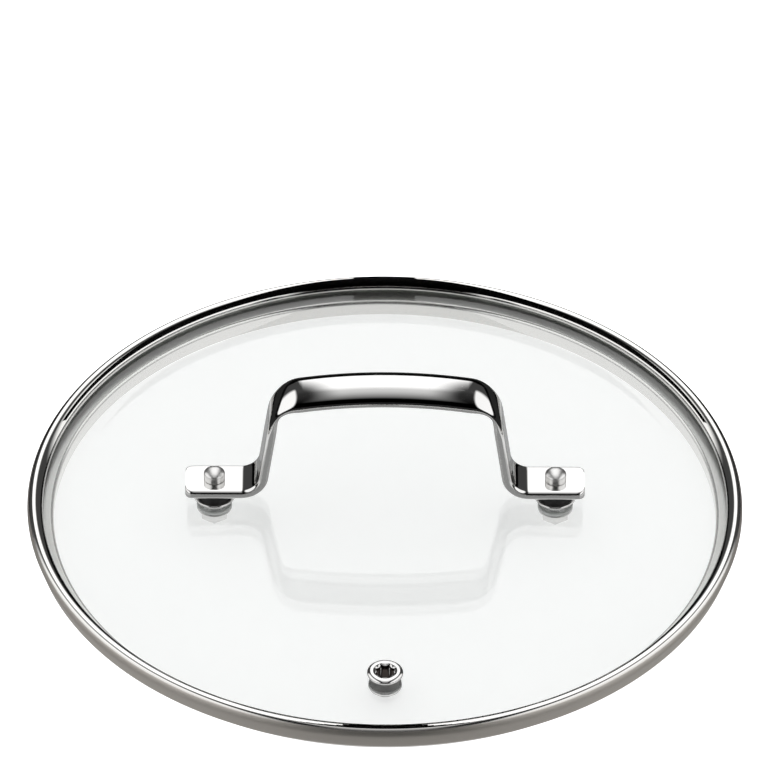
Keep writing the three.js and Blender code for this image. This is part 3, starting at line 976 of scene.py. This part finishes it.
class LID_OT_vent(bpy.types.Operator):
    """Add the steam vent: a crimped eyelet, its grommet and its washer"""

    bl_idname = "lid.vent"
    bl_label = "Steam vent"

    def execute(self, context):
        self.eyelet(context.scene.lid_vent)
        self.rings(context.scene.lid_vent)
        return {"FINISHED"}

    def eyelet(self, p):
        """A rolled flange that turns down into the bore, where its edge is split into petals."""
        top, low = VENT_BOX[1].z, VENT_BOX[0].z
        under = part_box("vent_gasket")[1].z + 0.05 * MM
        middle, half = (p.flange + p.bore) / 2, (p.flange - p.bore) / 2
        roll_z = under + 0.5 * MM
        rise = top - roll_z
        line = [(p.barrel, low + 0.9 * MM), (p.barrel, under), (p.flange - 0.3 * MM, under)]
        line += arc(p.flange - 0.3 * MM, under + 0.3 * MM, 0.3 * MM, 0.3 * MM, -90, 0, 4)
        line += arc(middle, roll_z, half, rise, 0, 90, 12)
        line += arc(middle, top - 0.35 * MM, half, 0.35 * MM, 90, 180, 12)
        line += [(p.bore + 0.02 * MM, roll_z - 0.35 * MM), (p.bore + 0.04 * MM, roll_z - 0.7 * MM)]
        line += [(p.bore + 0.1 * MM, roll_z - 1.1 * MM), (p.bore + 0.1 * MM, low + 0.9 * MM)]
        line += [(p.bore + 0.25 * MM, low + 0.5 * MM), (p.barrel, low), (p.flange - 0.9 * MM, low)]
        line += [(p.flange - 0.65 * MM, low + 0.25 * MM), (p.flange - 0.8 * MM, low + 0.55 * MM)]
        line += [(p.barrel, low + 0.6 * MM), line[0]]
        steps = p.petals * 14
        turn_sheet(line, steps)
        mesh = bmesh.from_edit_mesh(bpy.context.object.data)
        for vert in mesh.verts:
            r = math.hypot(vert.co.x, vert.co.y)
            if r > p.bore + 0.6 * MM or vert.co.z < roll_z - 1.2 * MM:
                continue
            turn = (math.atan2(vert.co.y, vert.co.x) / (2 * math.pi) * p.petals + 0.5) % 1
            petal = 1 - abs(2 * turn - 1)
            inner = smooth_step(p.bore + 0.6 * MM - r, 0, 0.5 * MM)
            stand = p.petal_depth * inner * (petal ** 0.7 - 0.45)
            gap = 1 - smooth_step(petal, 0.02, 0.3)
            scale = (r - stand * 1.1 + 0.3 * MM * gap * inner) / r
            vert.co.x *= scale
            vert.co.y *= scale
            vert.co.z -= (0.5 * MM * gap + 0.12 * MM) * inner
        bmesh.update_edit_mesh(bpy.context.object.data)
        close_up(38)
        bpy.context.object.location.y = VENT_Y
        material = material_for("Vent steel", vent_steel, p)
        settle("vent_eyelet_crimped", material, "vent_eyelet")

    def rings(self, p):
        low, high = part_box("vent_gasket")
        inner = p.barrel + 0.1 * MM
        sleeve = bpy.context.scene.lid_glass.vent_hole + 0.03 * MM
        flange, lip = p.flange - 0.45 * MM, 0.42 * MM
        line = [(inner, low.z), (flange - 0.1 * MM, low.z), (flange, low.z + 0.1 * MM)]
        line += [(flange, low.z + lip), (sleeve, low.z + lip), (sleeve, high.z - lip)]
        line += [(flange, high.z - lip), (flange, high.z - 0.12 * MM)]
        line += [(flange - 0.12 * MM, high.z), (inner, high.z), (inner, low.z)]
        turn_solid(line, 64)
        bpy.context.object.location.y = VENT_Y
        settle("vent_grommet", rubber("smoke"), "vent_gasket")
        low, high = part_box("vent_washer")
        line = washer_outline(inner, p.flange - 0.35 * MM, low.z, high.z, 0.12 * MM)
        turn_solid(line, 64)
        bpy.context.object.location.y = VENT_Y
        settle("vent_plain_washer", washer_steel(), "vent_washer")


# ---- the stage --------------------------------------------------------------------------


class LID_OT_stage(bpy.types.Operator):
    """Add the pale floor, the soft studio light and the camera"""

    bl_idname = "lid.stage"
    bl_label = "Stage, light and camera"

    def execute(self, context):
        p = context.scene.lid_stage
        self.floor(p)
        self.flag()
        self.surroundings(context.scene)
        self.camera(context.scene, p)
        context.scene.view_settings.view_transform = "Standard"
        context.scene.view_settings.look = "None"
        return {"FINISHED"}

    def floor(self, p):
        start()
        bpy.ops.mesh.primitive_circle_add(
            vertices=96, radius=p.floor_radius, location=(0, 0, 0), fill_type="NGON"
        )
        floor = bpy.context.object
        floor.name = floor.data.name = "floor"
        material, n, shader = new_material("Pale floor")
        shader["Base Color"].default_value = (0.8, 0.8, 0.8, 1)
        shader["Roughness"].default_value = 0.9
        shader["Specular IOR Level"].default_value = 0.0
        shader["Emission Color"].default_value = (1, 1, 1, 1)
        x, y, z = n.parts(n.mapping((1, 1, 1)))
        radius = n.reach(x, y)
        # Painted reflection: for mirror rays the floor is an emission pattern of bright and dark
        # rings round the lid.
        mirrored_light = n.add("ShaderNodeEmission")
        level = n.ramp(n.math("DIVIDE", radius, MIRRORED_REACH), MIRRORED_FLOOR)
        # Painted reflection: a bright patch on the floor round each stud, seen only in mirrors,
        # lightens the nuts and washers.
        aside = n.math("SUBTRACT", n.math("ABSOLUTE", x), STUD_X)
        near = n.math("ADD", n.math("MULTIPLY", aside, aside), n.math("MULTIPLY", y, y))
        painted_stud_glow = n.fade(n.math("SQRT", near), 0.011, 0.014, 0.9, 0.0)
        n.put(n.math("MAXIMUM", level, painted_stud_glow), mirrored_light.inputs["Strength"])
        # Painted light and shade: the floor glows less inside the flange than outside the lid. This
        # paints shade under the lid and a brightness that hides the lid's shadow around it.
        n.put(n.fade(radius, 0.0925, 0.0935, 0.59, 1.1), shader["Emission Strength"])
        path = n.add("ShaderNodeLightPath")
        both = n.add("ShaderNodeMixShader")
        output = next(node for node in n.tree.nodes if node.type == "OUTPUT_MATERIAL")
        pale = output.inputs[0].links[0].from_socket
        n.put(n.math("MINIMUM", path.outputs["Glossy Depth"], 1.0), both.inputs[0])
        n.put(pale, both.inputs[1])
        n.put(mirrored_light.outputs[0], both.inputs[2])
        n.put(both.outputs[0], output.inputs[0])
        floor.data.materials.append(material)

    def flag(self):
        """Black cards bent over the rim, far and near. Only reflections show them."""
        turn_sheet([(r * MM, z * MM) for r, z in CARD_LINE], 360)

        def from_back(c):
            return abs(math.degrees(math.atan2(c.x, c.y)))

        select_where(lambda c: from_back(c) > 64)
        bpy.ops.mesh.delete(type="FACE")
        mesh = bmesh.from_edit_mesh(bpy.context.object.data)
        for vert in mesh.verts:
            r, away = math.hypot(vert.co.x, vert.co.y), from_back(vert.co)
            reach = 98 + 7.5 * (1 - smooth_step(away, 2, 34)) - 5 * smooth_step(away, 34, 64)
            if r > reach * MM:
                vert.co.x *= reach * MM / r
                vert.co.y *= reach * MM / r
                if reach < CARD_REACH - 0.1:
                    vert.co.z = (20 - max(reach - 100, 0) * 0.4) * MM
        bmesh.update_edit_mesh(bpy.context.object.data)
        bpy.ops.object.mode_set(mode="OBJECT")
        self.card(bpy.context.object, "rim_flag")
        line = [(98.3 - 4 * math.cos(math.radians(a)), 11.4 + 4 * math.sin(math.radians(a)))
                for a in range(5, 100, 10)]
        turn_sheet([(r * MM, z * MM) for r, z in line], 360)
        select_where(lambda c: 180 - from_back(c) > 6 + 2500 * (math.hypot(c.x, c.y) - 0.0943))
        bpy.ops.mesh.delete(type="FACE")
        bpy.ops.object.mode_set(mode="OBJECT")
        self.card(bpy.context.object, "front_flag")

    def card(self, card, name):
        """Makes a sheet black, and hides it from all but mirrors."""
        card.name = card.data.name = name
        material, n, shader = new_material("Black card")
        shader["Base Color"].default_value = (0.0, 0.0, 0.0, 1)
        shader["Roughness"].default_value = 1.0
        shader["Specular IOR Level"].default_value = 0.0
        card.data.materials.clear()
        card.data.materials.append(material)
        card.visible_camera = card.visible_diffuse = card.visible_shadow = False
        card.visible_transmission = card.visible_volume_scatter = False

    def surroundings(self, scene):
        """Soft boxes behind and to the sides, a dark studio in front, and a dark band low down."""
        world = bpy.data.worlds.new("Studio")
        scene.world = world
        world.use_nodes = True
        tree = world.node_tree
        tree.nodes.clear()
        n = Nodes(tree)
        direction = n.add("ShaderNodeTexCoord").outputs["Generated"]
        x, y, z = n.parts(direction)
        turn = n.math("ARCTAN2", z, y)
        overhead = n.ramp(n.math("DIVIDE", turn, math.pi), MAIN_BOX)
        across = n.math("ABSOLUTE", x)
        main_box = n.math("MULTIPLY", overhead, n.fade(across, 0.13, 0.25, 1.0, 0.04))
        sides = n.math("MULTIPLY", n.fade(across, 0.36, 0.5), n.fade(y, -0.95, -0.8, 0.0, 0.8))
        sides = n.math("MULTIPLY", sides, n.fade(y, 0.5, 0.68, 1.0, 0.0))
        level = n.math("MAXIMUM", main_box, sides)
        low = n.fade(across, 0.35, 0.55, 0.26, 0.1)
        lifted = n.math("MULTIPLY", level, n.fade(z, low, n.math("ADD", low, 0.06)))
        seen = n.add("ShaderNodeBackground")
        seen.inputs["Color"].default_value = (1, 1, 1, 1)
        boxes = n.add("ShaderNodeBackground")
        n.put(n.math("MULTIPLY", lifted, BOX_STRENGTH), boxes.inputs["Strength"])
        path = n.add("ShaderNodeLightPath")
        both = n.add("ShaderNodeMixShader")
        spread = n.math("MINIMUM", path.outputs["Diffuse Depth"], 1.0)
        soft = n.math("MAXIMUM", path.outputs["Is Camera Ray"], spread)
        n.put(soft, both.inputs[0])
        n.put(boxes.outputs[0], both.inputs[1])
        n.put(seen.outputs[0], both.inputs[2])
        n.put(both.outputs[0], n.add("ShaderNodeOutputWorld").inputs[0])

    def camera(self, scene, p):
        data = bpy.data.cameras.new("Camera")
        camera = bpy.data.objects.new("Camera", data)
        scene.collection.objects.link(camera)
        data.sensor_width = 36
        data.lens = p.lens
        data.clip_end = 100
        middle = Vector((0, 0, glass_top(25 * MM)))
        away = Vector((
            math.sin(p.camera_turn) * math.cos(p.camera_height),
            -math.cos(p.camera_turn) * math.cos(p.camera_height),
            math.sin(p.camera_height),
        ))
        place = middle + away * p.camera_distance
        across = Vector((0, 0, 1)).cross(away).normalized()
        up = away.cross(across)
        aim = middle + up * p.aim_rise - across * 0.18 * MM
        camera.location = place
        camera.rotation_mode = "QUATERNION"
        look = (aim - place).to_track_quat("-Z", "Y")
        camera.rotation_quaternion = look @ Quaternion((0, 0, 1), p.camera_roll)
        scene.camera = camera


# ---- the add-on -------------------------------------------------------------------------

OPERATORS = (
    LID_OT_glass, LID_OT_band, LID_OT_handle, LID_OT_fixings, LID_OT_vent, LID_OT_stage,
)


class LID_PT_panel(bpy.types.Panel):
    """Lists the lid's pieces"""

    bl_idname = "LID_PT_panel"
    bl_label = "Glass lid"
    bl_space_type = "VIEW_3D"
    bl_region_type = "UI"
    bl_category = "Lid"

    def draw(self, context):
        for operator, settings in zip(OPERATORS, SETTINGS):
            box = self.layout.box()
            box.operator(operator.bl_idname)
            group = getattr(context.scene, settings)
            for name in SETTINGS[settings].__annotations__:
                box.prop(group, name)


CLASSES = (*SETTINGS.values(), *OPERATORS, LID_PT_panel)


def register():
    for cls in CLASSES:
        bpy.utils.register_class(cls)
    for name, cls in SETTINGS.items():
        setattr(bpy.types.Scene, name, bpy.props.PointerProperty(type=cls))


def unregister():
    for name in SETTINGS:
        delattr(bpy.types.Scene, name)
    for cls in reversed(CLASSES):
        bpy.utils.unregister_class(cls)


def main():
    register()
    bpy.ops.lid.glass()
    bpy.ops.lid.band()
    bpy.ops.lid.handle()
    bpy.ops.lid.fixings()
    bpy.ops.lid.vent()
    bpy.ops.lid.stage()


if __name__ == "__main__":
    main()
